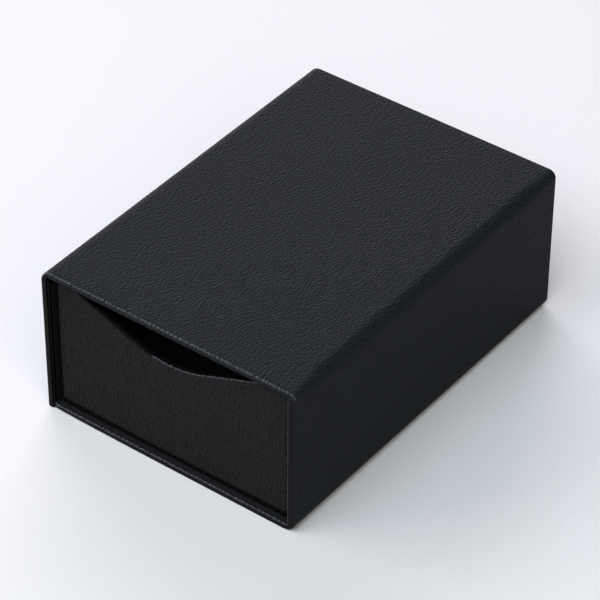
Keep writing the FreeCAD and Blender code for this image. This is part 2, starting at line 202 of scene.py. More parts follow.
def leatherette(name, slant, dark, light, specular, roughness, depth, spread=0.25):
    """Leatherette whose wrinkles lean by slant degrees from the sheet's run. Height of the skin =
    wrinkle - CELL_DEPTH x distance from the cell's middle + PORE_DEPTH x pore. Its colour goes
    from dark to light within spread of the middle height, and depth is the relief's, in mm."""
    made, tree, shader = new_material(name)
    sheet = add(tree, "UVMap", {"uv_map": "sheet"})
    in_mm = add(tree, "Mapping", {"Scale": (1 / MM, 1 / MM, 1 / MM)}, {"Vector": (sheet, "UV")})
    sway = add(tree, "TexNoise", {"Scale": 1 / SWAY, "Detail": 2.0}, {"Vector": (in_mm, "Vector")})
    bend = add(tree, "VectorMath",
               {"operation": "MULTIPLY_ADD", 1: (SWAY_REACH, SWAY_REACH, 0)},
               {0: (sway, "Color"), 2: (in_mm, "Vector")})
    wrinkle = add(tree, "TexGabor",
                  {"gabor_type": "2D", "Scale": 1 / (WRINKLE * WAVES), "Frequency": WAVES,
                   "Anisotropy": ORDER, ORIENTATION: math.radians(slant)},
                  {"Vector": (bend, "Vector")})
    cell = add(tree, "TexVoronoi",
               {"voronoi_dimensions": "2D", "feature": "SMOOTH_F1", "Scale": 1 / CELL,
                "Smoothness": 0.3}, {"Vector": (bend, "Vector")})
    pore = add(tree, "TexNoise", {"Scale": 1 / PORE, "Detail": 2.0}, {"Vector": (in_mm, "Vector")})
    pinched = add(tree, "Math", {"operation": "MULTIPLY_ADD", 1: -CELL_DEPTH},
                  {0: (cell, "Distance"), 2: (wrinkle, "Value")})
    height = add(tree, "Math", {"operation": "MULTIPLY_ADD", 1: PORE_DEPTH},
                 {0: (pore, "Fac"), 2: (pinched, "Value")})
    crest = add(tree, "ValToRGB",
                {"stops": [(MID_SKIN - spread, dark), (MID_SKIN + spread, light)]},
                {"Fac": (height, "Value")})
    bump = add(tree, "Bump", {"Strength": 1.0, "Distance": depth * MM},
               {"Height": (height, "Value")})
    shader.inputs["IOR"].default_value = 1.45    # soft PVC, a little under hard PVC's 1.53
    shader.inputs["Specular IOR Level"].default_value = specular
    shader.inputs["Roughness"].default_value = roughness
    tree.links.new(crest.outputs["Color"], shader.inputs["Base Color"])
    tree.links.new(bump.outputs["Normal"], shader.inputs["Normal"])
    return made


print(f"wrinkles every {WRINKLE} mm, in groups {WRINKLE * WAVES:.2f} mm wide")

# %% [markdown]
# One sheet looks different from place to place. On open faces it is a soft black with little
# gloss. Where it is drawn tight over a board's edge the grain is pressed flat and has more gloss,
# and the tops of the wrinkles are painted pale: a painted highlight that shows as a row of bright
# dots, given by a narrow spread of colour and more gloss. Where it is turned in it is pressed smooth
# and painted darker, and deep in the sleeve it is painted near pure black, both as painted shade, so
# it looks almost plain.
# A single material with one gloss would be quicker, and would lose the edges of a black box.

# %% Leatherettes of the sleeve and the tray
ON_SLEEVE = -9            # slant of the wrinkles, in degrees
ON_TRAY = 0

# Satin black with a blue cast: wrinkles read as fine light and dark lines.
sleeve_skin = leatherette("embossed_leatherette_on_sleeve", ON_SLEEVE, "#1b1d1f", "#292b2e",
                          specular=0.014, roughness=0.4, depth=0.32)
# The tray's sheet took the roller deeper, so it looks rougher and a little warmer.
tray_skin = leatherette("embossed_leatherette_on_tray", ON_TRAY, "#1e1e1f", "#282929",
                        specular=0.012, roughness=0.4, depth=0.95)
# Drawn tight over an edge: more gloss, and wrinkle tops painted pale as a painted highlight, so
# bright dots on black.
sleeve_edge_highlight = leatherette("drawn_leatherette_with_painted_highlight", ON_SLEEVE, "#101113", "#45494f",
                          specular=0.3, roughness=0.3, depth=0.3, spread=0.12)
# Turned in at the mouths: the grain is pressed nearly flat, so it looks smooth, and its colour is
# painted darker than the skin as painted shade.
sleeve_turned_painted_shade = leatherette("turned_in_leatherette_in_painted_shade", ON_SLEEVE, "#161617", "#1b1b1d",
                            specular=0.025, roughness=0.4, depth=0.1)
# Painted shade in the seam and on the inner faces: close to pure black, so a gap reads as a dark
# line.
sleeve_painted_deep_shade = leatherette("leatherette_in_painted_deep_shade", ON_SLEEVE, "#030304", "#050506",
                            specular=0.01, roughness=0.5, depth=0.1)
# Painted shade over the tray's foot and edges and inside its rim: near pure black, with the grain
# pressed out.
tray_painted_shade = leatherette("tray_leatherette_in_painted_shade", ON_TRAY, "#080809", "#0c0c0d",
                        specular=0.03, roughness=0.5, depth=0.1)
print("leatherettes:", [kind.name for kind in (sleeve_skin, tray_skin, sleeve_edge_highlight, sleeve_turned_painted_shade,
                                               sleeve_painted_deep_shade, tray_painted_shade)])

# %% [markdown]
# ## Papers and boards
# Greyboard is pressed from waste paper: grey, matt, with pale and dark fibres. Lining paper is
# dyed black in the pulp and is smoother. Gummed tape is brown kraft paper. Suede paper is flocked:
# short black fibres stand in glue, so it is dull from above and lighter at a slant, which sheen
# gives. One function covers all four, because they differ only in colours, fibre and roughness.
# Real fibres are some hundredths of a millimetre wide, and are drawn coarser so that they show.

# %% Paper
FELT_DARK, FELT_LIGHT = 0.4, 0.7    # heights of the felt that are all dark and all light


def paper(name, dark, light, fibre, roughness, relief, sheen=0.0):
    """Matt sheet with fibres: noise of the given fibre width in mm, drawn out four times along X
    and along Y, and the higher of the two picks a colour between dark and light."""
    made, tree, shader = new_material(name)
    place = add(tree, "TexCoord")
    layers = []
    for run in ((4, 1, 1), (1, 4, 1)):
        scale = [1 / (MM * 2 * fibre * factor) for factor in run]
        laid = add(tree, "Mapping", {"Scale": scale}, {"Vector": (place, "Object")})
        layers.append(add(tree, "TexNoise", {"Scale": 1.0, "Detail": 3.0},
                          {"Vector": (laid, "Vector")}))
    felt = add(tree, "Math", {"operation": "MAXIMUM"},
               {0: (layers[0], "Fac"), 1: (layers[1], "Fac")})
    colour = add(tree, "ValToRGB", {"stops": [(FELT_DARK, dark), (FELT_LIGHT, light)]},
                 {"Fac": (felt, "Value")})
    bump = add(tree, "Bump", {"Strength": 0.5, "Distance": relief * MM},
               {"Height": (felt, "Value")})
    shader.inputs["Roughness"].default_value = roughness
    shader.inputs["Specular IOR Level"].default_value = 0.15
    shader.inputs["Sheen Weight"].default_value = sheen
    tree.links.new(colour.outputs["Color"], shader.inputs["Base Color"])
    tree.links.new(bump.outputs["Normal"], shader.inputs["Normal"])
    return made


greyboard = paper("pressed_greyboard", "#6f6b64", "#8d8880",
                  fibre=0.5, roughness=0.9, relief=0.1)
# The lining is dyed black, and its near pure black is also painted shade on the sleeve's walls and
# in the tray.
lining = paper("dyed_lining_paper", "#040405", "#080809", fibre=0.3, roughness=0.8, relief=0.03)
kraft = paper("gummed_kraft_tape", "#7d5f3f", "#9a7a55", fibre=0.3, roughness=0.75, relief=0.04)
suede = paper("flocked_suede_paper", "#0d0d0f", "#17171a",
              fibre=0.35, roughness=0.95, relief=0.12, sheen=0.3)
print("papers:", [kind.name for kind in (greyboard, lining, kraft, suede)])

# %% [markdown]
# The tray runs on the lining of the sleeve's base. The base faces up to the lamps and the walls lie
# in shade, so the base is painted paler than the walls: painted light. A second paper could lie on
# the base, but it is one strip of paper, so the painted light is a change of colour with height in
# the same material.

# %% Lining painted paler on the base, as painted light
RUB_TOP = BASE_TOP + 0.5 * MM    # all painted paler up to here
RUB_FADE = 1 * MM                # height over which the painted light fades out


def paint_light_on_base(material, dark, light):
    """Painted light below a height: the paper's own colour gives way to a paler one, in a straight
    line from the top of the fade down to the height below which it is all paler."""
    tree = material.node_tree
    shader = tree.nodes["Principled BSDF"]
    unlit_colour = shader.inputs["Base Color"].links[0].from_socket
    felt = unlit_colour.node.inputs["Fac"].links[0].from_socket
    place = add(tree, "TexCoord")
    up = add(tree, "SeparateXYZ", links={"Vector": (place, "Object")})
    lit_share = add(tree, "MapRange", {"From Min": RUB_TOP + RUB_FADE, "From Max": RUB_TOP},
               {"Value": (up, "Z")})
    paler = add(tree, "ValToRGB", {"stops": [(FELT_DARK, dark), (FELT_LIGHT, light)]},
                {"Fac": (felt.node, felt.name)})
    mixed = add(tree, "MixRGB", {"blend_type": "MIX"},
                {"Fac": (lit_share, "Result"), "Color2": (paler, "Color")})
    tree.links.new(unlit_colour, mixed.inputs["Color1"])
    tree.links.new(mixed.outputs["Color"], shader.inputs["Base Color"])


# Painted light: the base's lining is painted paler than the shaded walls, because it faces up to the
# lamps.
paint_light_on_base(lining, "#131315", "#1b1b1e")
print(f"lining is painted_paler below {(RUB_TOP + RUB_FADE) / MM:.2f} mm")

# %% [markdown]
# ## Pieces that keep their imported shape
# Boards, linings and tapes are flat sheets with square edges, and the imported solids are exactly
# that. Most of them are hidden under the wrap, and they stay because the box is built from them.

# %% Boards, linings and tapes
finishes = {
    greyboard: ["sleeve_left_board", "sleeve_top_board", "sleeve_right_board",
                "sleeve_base_board", "sleeve_flap_board", "drawer_front_board",
                "drawer_back_board", "drawer_left_board", "drawer_right_board",
                "drawer_base_board", "drawer_floor_card"],
    lining: ["sleeve_lining", "drawer_wall_lining", "drawer_base_sheet"],
    kraft: ["drawer_corner_stays"],
}
for material, names in finishes.items():
    for name in names:
        for place in nodes[name].material_slots:
            place.material = material
print("kept nodes:", sum(len(names) for names in finishes.values()))

# %% [markdown]
# ## Tools for surfaces
# Every wrapped piece is a sheet, so its shape is a function of two numbers: how far round the
# section, and how far across it. A path with round corners serves as section, because board is
# stiff between its folds and the wrap rounds each fold by its own radius. A box with a Bevel
# modifier would give one radius and no turned-in edges.

# %% Path with round corners
def rounded_path(corners, runs, rounds, side):
    """Points and outward normals of a path through corners (x, z, radius). An arc that touches
    both runs replaces each corner between the ends: it starts radius x tan(half the turn) before
    the corner, and its centre lies beside that start. Run i has runs[i] steps and arc i has
    rounds[i]. Outward is to the left of travel where side is 1, and to the right where it is -1."""
    spots = np.array([corner[:2] for corner in corners])
    ways = np.diff(spots, axis=0)
    ways /= np.linalg.norm(ways, axis=1)[:, None]
    outs = side * np.stack([-ways[:, 1], ways[:, 0]], axis=1)
    angles = np.arctan2(outs[:, 1], outs[:, 0])
    points, normals, start = [], [], spots[0]
    for i in range(1, len(spots) - 1):
        radius = corners[i][2]
        turn = (angles[i] - angles[i - 1] + math.pi) % (2 * math.pi) - math.pi
        run = radius * math.tan(abs(turn) / 2)
        end = spots[i] - ways[i - 1] * run
        bulge = -side * math.copysign(radius, turn)
        centre = end - outs[i - 1] * bulge
        part = np.arange(runs[i - 1])[:, None] / runs[i - 1]
        points.append(start + (end - start) * part)
        normals.append(np.broadcast_to(outs[i - 1], (runs[i - 1], 2)))
        angle = angles[i - 1] + turn * np.arange(rounds[i - 1]) / rounds[i - 1]
        normal = np.stack([np.cos(angle), np.sin(angle)], axis=1)
        points.append(centre + normal * bulge)
        normals.append(normal)
        start = spots[i] + ways[i] * run
    part = np.arange(runs[-1] + 1)[:, None] / runs[-1]
    points.append(start + (spots[-1] - start) * part)
    normals.append(np.broadcast_to(outs[-1], (runs[-1] + 1, 2)))
    return np.concatenate(points), np.concatenate(normals)


example = rounded_path([(0.0, 0.0, 0), (0.0, 1.0, 0.5), (1.0, 1.0, 0)], (1, 1), (4,), 1)[0]
print(f"a path round one corner has {len(example)} points")

# %% [markdown]
# The points are worked out as a whole grid, and neighbours on the grid become faces. Before it
# was folded, the wrap was flat, and the roller embossed it in that state. So each corner of a
# face is also told where it lay on the flat sheet. An unwrap could find those places too, but
# lengths along the grid's own lines are the same lengths, and stretch nothing.

# %% Faces of a grid
def smooth(share):
    """Smooth step: 3t^2 - 2t^3 between 0 and 1."""
    share = np.clip(share, 0, 1)
    return share * share * (3 - 2 * share)


def grid_faces(rows, columns, wrap_rows=False, wrap_columns=False):
    """Quads between neighbours of a grid, with the last row or column joined to the first where
    it wraps. Shape: row, column, corner."""
    row, column = np.meshgrid(np.arange(rows - (not wrap_rows)),
                              np.arange(columns - (not wrap_columns)), indexing="ij")
    below, beside = (row + 1) % rows, (column + 1) % columns
    corners = [(row, column), (below, column), (below, beside), (row, beside)]
    return np.stack([r * columns + c for r, c in corners], axis=-1)


def flat_sheet(points, line, wrap_rows=False, wrap_columns=False):
    """Where the corners of the grid's quads lie on the flat sheet: u is the length of the given
    line up to the corner's row, and v is the length along the row up to the corner."""
    grid = np.pad(points, ((0, wrap_rows), (0, wrap_columns), (0, 0)), mode="wrap")
    u = np.cumsum(np.linalg.norm(np.diff(grid[:, line], axis=0, prepend=grid[:1, line]), axis=1))
    v = np.cumsum(np.linalg.norm(np.diff(grid, axis=1, prepend=grid[:, :1]), axis=2), axis=1)
    sheet = np.stack([np.broadcast_to(u[:, None], v.shape), v], axis=-1)
    return sheet.reshape(-1, 2)[grid_faces(*v.shape)]


print("a ring of 4 by 3 points has", grid_faces(4, 3, wrap_rows=True)[..., 0].size, "faces")

# %% [markdown]
# A mesh needs its seams closed, or the thickness would show a slit there, so points that fall
# together are merged. The Solidify modifier then gives the sheet its thickness, inwards, so that
# the outer size stays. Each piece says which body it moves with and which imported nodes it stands
# for.

# %% Mesh and piece
SAME_PLACE = 0.01 * MM    # points nearer than this are one


def make_mesh(name, points, quads, drawn=None, sheet=None):
    """Mesh of a grid of points, with doubles merged, so that a seam or a pole is closed. drawn
    gives each face its material, and sheet each corner's place on the flat sheet."""
    mesh = bpy.data.meshes.new(name)
    mesh.from_pydata(points.reshape(-1, 3), [], quads.reshape(-1, 4))
    if sheet is not None:
        mesh.uv_layers.new(name="sheet").data.foreach_set("uv", sheet.ravel())
    if drawn is not None:
        mesh.polygons.foreach_set("material_index", drawn.ravel().astype(np.int32))
    shell = bmesh.new()
    shell.from_mesh(mesh)
    bmesh.ops.remove_doubles(shell, verts=shell.verts, dist=SAME_PLACE)
    loose = [v for v in shell.verts if not v.link_faces]
    bmesh.ops.delete(shell, geom=loose, context="VERTS")
    shell.to_mesh(mesh)
    shell.free()
    return mesh


def add_piece(mesh, body, materials, nodes_replaced, thickness=0.0):
    """Object of the mesh, smooth shaded and given a thickness inwards, that rides on a body."""
    piece = bpy.data.objects.new(mesh.name, mesh)
    bpy.context.scene.collection.objects.link(piece)
    for material in materials:
        mesh.materials.append(material)
    mesh.shade_smooth()
    if thickness:
        wall = piece.modifiers.new("thickness", "SOLIDIFY")
        wall.thickness = thickness
        wall.offset = -1.0
        wall.use_even_offset = False
    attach(piece, body)
    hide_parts(*nodes_replaced)
    triangles = sum(len(face.vertices) - 2 for face in mesh.polygons)
    print(f"{piece.name}: {len(mesh.vertices)} points, {triangles} triangles before thickness")


print(f"points within {SAME_PLACE / MM:.2f} mm are merged")

# %% [markdown]
# ## The sleeve's wrap
# One sheet goes round the whole sleeve. It starts under the free lower edge of the left panel, runs
# over the left, top and right panels and the base, and then turns up inside the left panel as a
# glue flap. At both mouths it is turned in over the boards' cut edges. The section therefore has
# two matched outlines, the outside and the inside, that meet at the sheet's two free edges. Five
# flat plates would be quicker, but the sheet's run over folds and edges is what one sees.

# %% Two outlines of the sleeve's section
LEFT_PANEL, TOP_PANEL, RIGHT_PANEL, BASE_PANEL, FLAP = range(1, 6)    # 0 and 6 are free edges
RUNS = (1, 36, 48, 36, 44, 26, 1)                                     # faces over each of them
ROUNDS = (6, 16, 16, 12, 10, 4)                                       # faces round each fold
starts = np.cumsum([0] + [run + fold for run, fold in zip(RUNS, ROUNDS + (0,))])
# The panel that each row of the section is on, where a panel takes in the fold after it.
panel = np.searchsorted(starts, np.arange(starts[-1] + 1), side="right") - 1
FOOT_X = (LEFT + SEAM_X) / 2
FLAP_FACE_X = SEAM_X + SEAM_GAP
CREST_X = (FLAP_FACE_X + FLAP_X) / 2


def around(right_r, base_r):
    """The sheet's outside, with the radius of the top panel's right fold and of the base fold.
    The base is lifted by BASE_LIFT x e^(-distance from the seam / LIFT_FADE), and a smooth step
    ends the lift within LIFT_END up the flap."""
    corners = [(FOOT_X, GROUND, 0), (LEFT, GROUND, FOOT_R), (LEFT, TOP, FOLD_R),
               (RIGHT, TOP, right_r), (RIGHT, GROUND, base_r),
               (FLAP_FACE_X, GROUND, FLAP_FOLD_R), (FLAP_FACE_X, FLAP_TOP, ARRIS_R),
               (CREST_X, FLAP_TOP, 0)]
    points, normals = rounded_path(corners, RUNS, ROUNDS, 1)
    lift = BASE_LIFT * np.exp(-(points[:, 0] - SEAM_X) / LIFT_FADE)
    lift *= 1 - smooth((points[:, 1] - FLAP_FOLD_R) / LIFT_END)
    points[:, 1] += np.where(panel >= BASE_PANEL, lift, 0)
    return points, normals


outside = around(FOLD_R, BASE_FRONT_R)[0]
inside, inside_normal = rounded_path(
    [(FOOT_X, GROUND, 0), (SEAM_X, GROUND, FOOT_R), (SEAM_X, INSIDE_TOP, INNER_R),
     (INSIDE_RIGHT, INSIDE_TOP, INNER_R), (INSIDE_RIGHT, BASE_TOP, INNER_R),
     (FLAP_X, BASE_TOP, INNER_R), (FLAP_X, FLAP_TOP, ARRIS_R), (CREST_X, FLAP_TOP, 0)],
    RUNS, ROUNDS, -1)
print(f"{len(outside)} points round, {len(inside)} inside")

# %% [markdown]
# Each line across the sheet goes right round a panel: over its outside, over the back edge, along
# the inside and over the front edge. A board is cut square, and the sheet rounds its arrises, so
# the line has a quarter circle at each and a flat between them. Deep inside there is no sheet,
# because it is turned in by only 15 mm.

# %% Lines across the sleeve
ACROSS = 46               # lines over a panel's face
TURNED = 5                # lines over a turn-in
quarter = np.linspace(0, math.pi / 2, 6)
over_inset = ARRIS_R * (1 - np.sin(quarter))
over_y = ARRIS_R * (1 - np.cos(quarter))
along = np.linspace(FRONT + ARRIS_R, BACK - ARRIS_R, ACROSS + 2)[1:-1]
turned = np.linspace(ARRIS_R, TURN_IN, TURNED + 1)[1:]
line_y = np.concatenate([FRONT + over_y, along, BACK - over_y[::-1], [BACK], BACK - over_y,
                         BACK - turned, FRONT + turned[::-1], FRONT + over_y[::-1], [FRONT]])
line_inset = np.concatenate([over_inset, 0 * along, over_inset[::-1], [ARRIS_R], over_inset,
                             0 * turned, 0 * turned, over_inset[::-1], [ARRIS_R]])
arcs = len(quarter)
outer_lines = 2 * arcs + ACROSS
line_mix = np.repeat([0, 0.5, 1, 0.5], [outer_lines, 1, 2 * arcs + 2 * TURNED, 1])
mid_inside = outer_lines + arcs + TURNED
print(f"{len(line_y)} lines across, the boards show inside after line {mid_inside}")

# %% [markdown]
# A board is never quite flat once it is wrapped, because the glue shrinks as it dries. The panels
# bow in by about a tenth of a millimetre, which bends the reflections a little. The folds change
# along the sleeve too, so each line's outline is a mix of four: with the right fold round and
# pressed, and with the base fold as at the front and as at the back.

# %% What changes along the sleeve
def bow(points):
    """How far flat and upright panels are drawn in: BOW x sin(pi u) x sin(pi v), u and v being
    how far across the panel and how far along the sleeve a point is."""
    v = np.clip((points[..., 1] - FRONT) / (BACK - FRONT), 0, 1)
    across = np.clip((points[..., 0] - LEFT - FOLD_R) / (RIGHT - LEFT - 2 * FOLD_R), 0, 1)
    up = np.clip((points[..., 2] - BASE_FRONT_R) / (TOP - FOLD_R - BASE_FRONT_R), 0, 1)
    drawn = BOW * np.sin(math.pi * v)
    return drawn * np.sin(math.pi * across), drawn * np.sin(math.pi * up)


def sleeve_outside():
    """Points and normals of every line's outline: shares of four outlines, added up. press is 1
    at the front mouth, less at the back one, and falls to 0 within MOUTH_FADE of both. back goes
    from 0 at the front to 1 at the back."""
    from_mouth = np.minimum(line_y - FRONT, BACK - line_y)
    back = (line_y - FRONT) / (BACK - FRONT)
    press = (1 - smooth(from_mouth / MOUTH_FADE)) * (1 - BACK_EASE * back)
    shares = ((1 - press) * (1 - back), (1 - press) * back, press * (1 - back), press * back)
    ways = [around(fold_r, base_r) for fold_r in (FOLD_R, MOUTH_FOLD_R)
            for base_r in (BASE_FRONT_R, BASE_FOLD_R)]
    return [sum(way[i][:, None] * part[None, :, None] for way, part in zip(ways, shares))
            for i in (0, 1)]


print(f"panels are drawn in by {BOW / MM:.2f} mm")

# %% [markdown]
# Now the whole sheet is one grid: a row for each place of the section, and a line for each place
# across it. At its foot the flap's rounded edge leaves the left panel, and the seam between them
# opens into a small V. The inside has no faces between the turn-ins at both mouths, except along
# the sheet's free edges, which are turned in all the way.

# %% Sleeve wrap
def sleeve_points():
    """A point is the section's outline, moved in by the inset along its own normal; lines half
    way between both outlines make the boards' edges flat. On the flap the inset grows from its
    top to its foot, where it is SEAM_OPEN."""
    opening = (SEAM_OPEN / ARRIS_R - 1) * (1 - outside[:, 1] / FLAP_TOP)
    wider = 1 + np.where(panel >= FLAP, opening, 0)
    mix = line_mix[None, :, None]
    outer, outer_normal = sleeve_outside()
    outer = outer - outer_normal * (line_inset * wider[:, None])[..., None]
    inner = inside[:, None] - inside_normal[:, None] * line_inset[None, :, None]
    section = outer * (1 - mix) + inner * mix
    y = np.broadcast_to(line_y[None, :], section.shape[:2])
    points = np.stack([section[..., 0], y, section[..., 1]], axis=-1)
    drawn_flat, drawn_up = bow(points)
    free, over = (line_mix == 0)[None, :], panel[:, None]
    points[..., 2] -= drawn_flat * free * (over == TOP_PANEL)
    points[..., 0] -= drawn_up * free * (over == RIGHT_PANEL)
    points[..., 0] += drawn_up * free * (over == LEFT_PANEL)
    return points


points = sleeve_points()
from_end = np.minimum(np.linalg.norm(inside - inside[0], axis=1),
                      np.linalg.norm(inside - inside[-1], axis=1))
turned_over = from_end < EDGE_TURN_IN
quads = grid_faces(len(outside), len(line_y), wrap_columns=True)
kept = np.ones(quads.shape[:2], bool)
kept[:, mid_inside] = turned_over[:-1] & turned_over[1:]
print(f"{kept.sum()} faces, seam opens {SEAM_OPEN / MM:.2f} mm at its foot")

# %% [markdown]
# A painted highlight goes only where the sheet is drawn tight and the lamps catch it: over the
# front edges of the left and top panels outside, and of the right panel and the base inside. The
# flats of the board edges, all but the top panel's, and the turn-in on the base are pressed smooth
# and painted darker as shade. The rest of the inside and the seam get painted deep shade. Faces know
# their panel and their line, so a few comparisons say which is which, where painting them by hand
# would break with the next change of size.

# %% Which leatherette where
# Slots in order: the skin, the edges' painted highlight, the pressed flats painted darker as shade,
# and the painted deep shade.
SKIN, PAINTED_HIGHLIGHT, PRESSED_PAINTED_SHADE, PAINTED_DEEP_SHADE = range(4)
over = panel[:-1, None]
line = np.arange(len(line_y))[None, :]
outer_arris = line < arcs - 1
inner_arris = (line >= len(line_y) - arcs - 1) & (line < len(line_y) - 2)
outdoors = line < outer_lines - 1
edge_flat = (line == outer_lines - 1) | (line == outer_lines) | (line >= len(line_y) - 2)
# The painted highlight goes on the front edges that face the lamps; the seam and the bare inside get
# the painted deep shade.
painted_highlight_faces = (outer_arris & ((over == LEFT_PANEL) | (over == TOP_PANEL))
           | inner_arris & ((over == RIGHT_PANEL) | (over == BASE_PANEL)))
seam = outer_arris & (over == FLAP) | inner_arris & (over == LEFT_PANEL)
base_turn_in = (over == BASE_PANEL) & (line > mid_inside)
painted_deep_shade_faces = seam | (~outdoors & ~edge_flat & ~base_turn_in)
drawn = np.select([painted_highlight_faces, painted_deep_shade_faces, outdoors | edge_flat & (over == TOP_PANEL)],
                  [PAINTED_HIGHLIGHT, PAINTED_DEEP_SHADE, SKIN], PRESSED_PAINTED_SHADE)
sheet = flat_sheet(points, arcs + ACROSS // 2, wrap_columns=True)
mesh = make_mesh("sleeve_leatherette", points, quads[kept], drawn[kept], sheet[kept])
add_piece(mesh, "sleeve", (sleeve_skin, sleeve_edge_highlight, sleeve_turned_painted_shade, sleeve_painted_deep_shade),
          ("sleeve_cover", "sleeve_base_cover", "sleeve_flap_cover"), LEATHERETTE)

# %% [markdown]
# ## The tray's wrap
# The tray is wrapped the same way: the sheet starts under the base, comes up the outside, goes over
# the rim and ends inside, behind the lining strip. In the front wall the rim follows the thumb
# notch, a wide V with a round foot and round shoulders. The notch could be cut with a Boolean,
# but the sheet's rounded edge has to follow it, so the rim is a height that depends on x.

# %% Rim of the tray
slope_end = NOTCH_HALF - NOTCH_FLARE_R * math.sin(NOTCH_SLOPE)
sharp_depth = (NOTCH_HALF - NOTCH_FLARE_R * math.tan(NOTCH_SLOPE / 2)) * math.tan(NOTCH_SLOPE)
hollow_r = (sharp_depth - NOTCH_DEPTH) / (1 / math.cos(NOTCH_SLOPE) - 1)
LEAST = 0.1    # of a radius: keeps the roots real beyond the arcs, where they aren't used


def notch_rim(x):
    """Height of the front wall's rim and its slope. From the middle outwards: an arc that is
    hollow, a straight slope, an arc that is round, and the flat rim. On an arc the height is
    the centre's less or plus the root of radius^2 - distance^2."""
    u = np.abs(x - NOTCH_X)
    hollow = np.sqrt(np.maximum(hollow_r ** 2 - u ** 2, (LEAST * hollow_r) ** 2))
    away = np.maximum(NOTCH_HALF - u, 0)
    shoulder = np.sqrt(np.maximum(NOTCH_FLARE_R ** 2 - away ** 2, (LEAST * NOTCH_FLARE_R) ** 2))
    rise = math.tan(NOTCH_SLOPE)
    where = [u < hollow_r * math.sin(NOTCH_SLOPE), u < slope_end, u < NOTCH_HALF]
    height = np.select(where, [hollow_r - NOTCH_DEPTH - hollow, u * rise - sharp_depth,
                               shoulder - NOTCH_FLARE_R], 0)
    slope = np.select(where, [u / hollow, np.full_like(u, rise), away / shoulder], 0)
    return TRAY_HIGH.z + height, slope * np.sign(x - NOTCH_X)


print(f"the notch's foot is {hollow_r / MM:.1f} mm in radius")

# %% [markdown]
# Seen from above the tray is a rectangle with tight corners. So the path round it is a plain
# square, which is stretched to the tray's size and shrunk for each line of the profile. The front
# has the most steps, because the notch bends there.

# %% Path round the tray
def tray_path(front, back, side, corner):
    """Places round a square from -1 to 1, and outward normals: each side has its steps, and each
    corner stands still while the normal turns."""
    places, normals = [], []
    turning = [(0, -1), (1, 0), (0, 1), (-1, 0)]
    for i, steps in enumerate((front, side, back, side)):
        out = np.array(turning[i], float)
        way = np.array([-out[1], out[0]])
        run = np.linspace(-1, 1, steps + 1)[:-1, None]
        places.append(out + way * run)
        normals.append(np.broadcast_to(out, (steps, 2)))
        angle = np.arange(corner)[:, None] / corner * math.pi / 2
        places.append(np.broadcast_to(out + way, (corner, 2)))
        normals.append(out * np.cos(angle) + way * np.sin(angle))
    return np.concatenate(places), np.concatenate(normals)


path, path_normal = tray_path(front=112, back=56, side=70, corner=5)
on_front = path[:, 1] == -1
print(f"{len(path)} places round the tray")

# %% [markdown]
# The profile is the way that the sheet takes over a wall, seen from its end. It is written as
# seven stretches, and each line of it says how far in it lies, how much of a rounding it has, and
# how far up the wall it is. That keeps all lines level on the plain walls and lets them gather
# towards the rim under the notch.

# %% Profile of the tray's wrap
FOOT, WALL, RIM_OUT, RIM_FLAT, RIM_IN, INDOORS = range(1, 7)    # 0 is under the base
fall = 1 - np.cos(quarter)
draw = 1 - np.sin(quarter)
under = np.linspace(TRAY_TURN_IN, TRAY_FOOT_R, 5)[:-1]
wall = np.linspace(0, 1, 26)[1:-1]
inner_wall = np.linspace(1, 0, 7)[1:]
counts = [len(under), len(quarter), len(wall), len(quarter), 1, len(quarter), len(inner_wall)]
stretches = np.repeat(np.arange(7), counts)
inset_fixed = np.concatenate([under, np.zeros(sum(counts[FOOT:RIM_FLAT])), [TRAY_WALL / 2],
                              np.full(sum(counts[RIM_IN:]), TRAY_WALL)])
inset_round = np.concatenate([0 * under, draw, 0 * wall, fall, [0], -fall[::-1], 0 * inner_wall])
low_round = np.concatenate([0 * under, fall, 0 * wall + 1, np.zeros(sum(counts[RIM_OUT:]))])
drop_round = np.concatenate([np.zeros(sum(counts[:WALL])), 0 * wall + 1, draw, [0], draw[::-1],
                             0 * inner_wall + 1])
share = np.concatenate([np.zeros(sum(counts[:WALL])), wall, np.ones(sum(counts[RIM_OUT:INDOORS])),
                        inner_wall])
print(f"{len(share)} lines from the underside to the inside")

# %% [markdown]
# The notch is cut with a punch and the sheet is snipped there before it is turned over, so its
# edge is rounder on the left, and drawn tight on the right. The right carries the sleeve edges'
# painted highlight, and the left, like the rest of the rolled rim, the tray's painted shade. Both
# are one surface, and only the radius and the material vary.

# %% Tray wrap
def edge_radius(x):
    """Radius over the rim's outer edge: ARRIS_R, which grows to NOTCH_ARRIS_R as the notch gets
    RIM_FADE deep, and falls back over LIP_FADE before LIP_X. x is each place's own."""
    deep = smooth((TRAY_HIGH.z - notch_rim(x)[0]) / RIM_FADE)
    rounder = np.where(on_front, deep * smooth((LIP_X - x) / LIP_FADE), 0)
    return ARRIS_R + (NOTCH_ARRIS_R - ARRIS_R) * rounder[:, None]


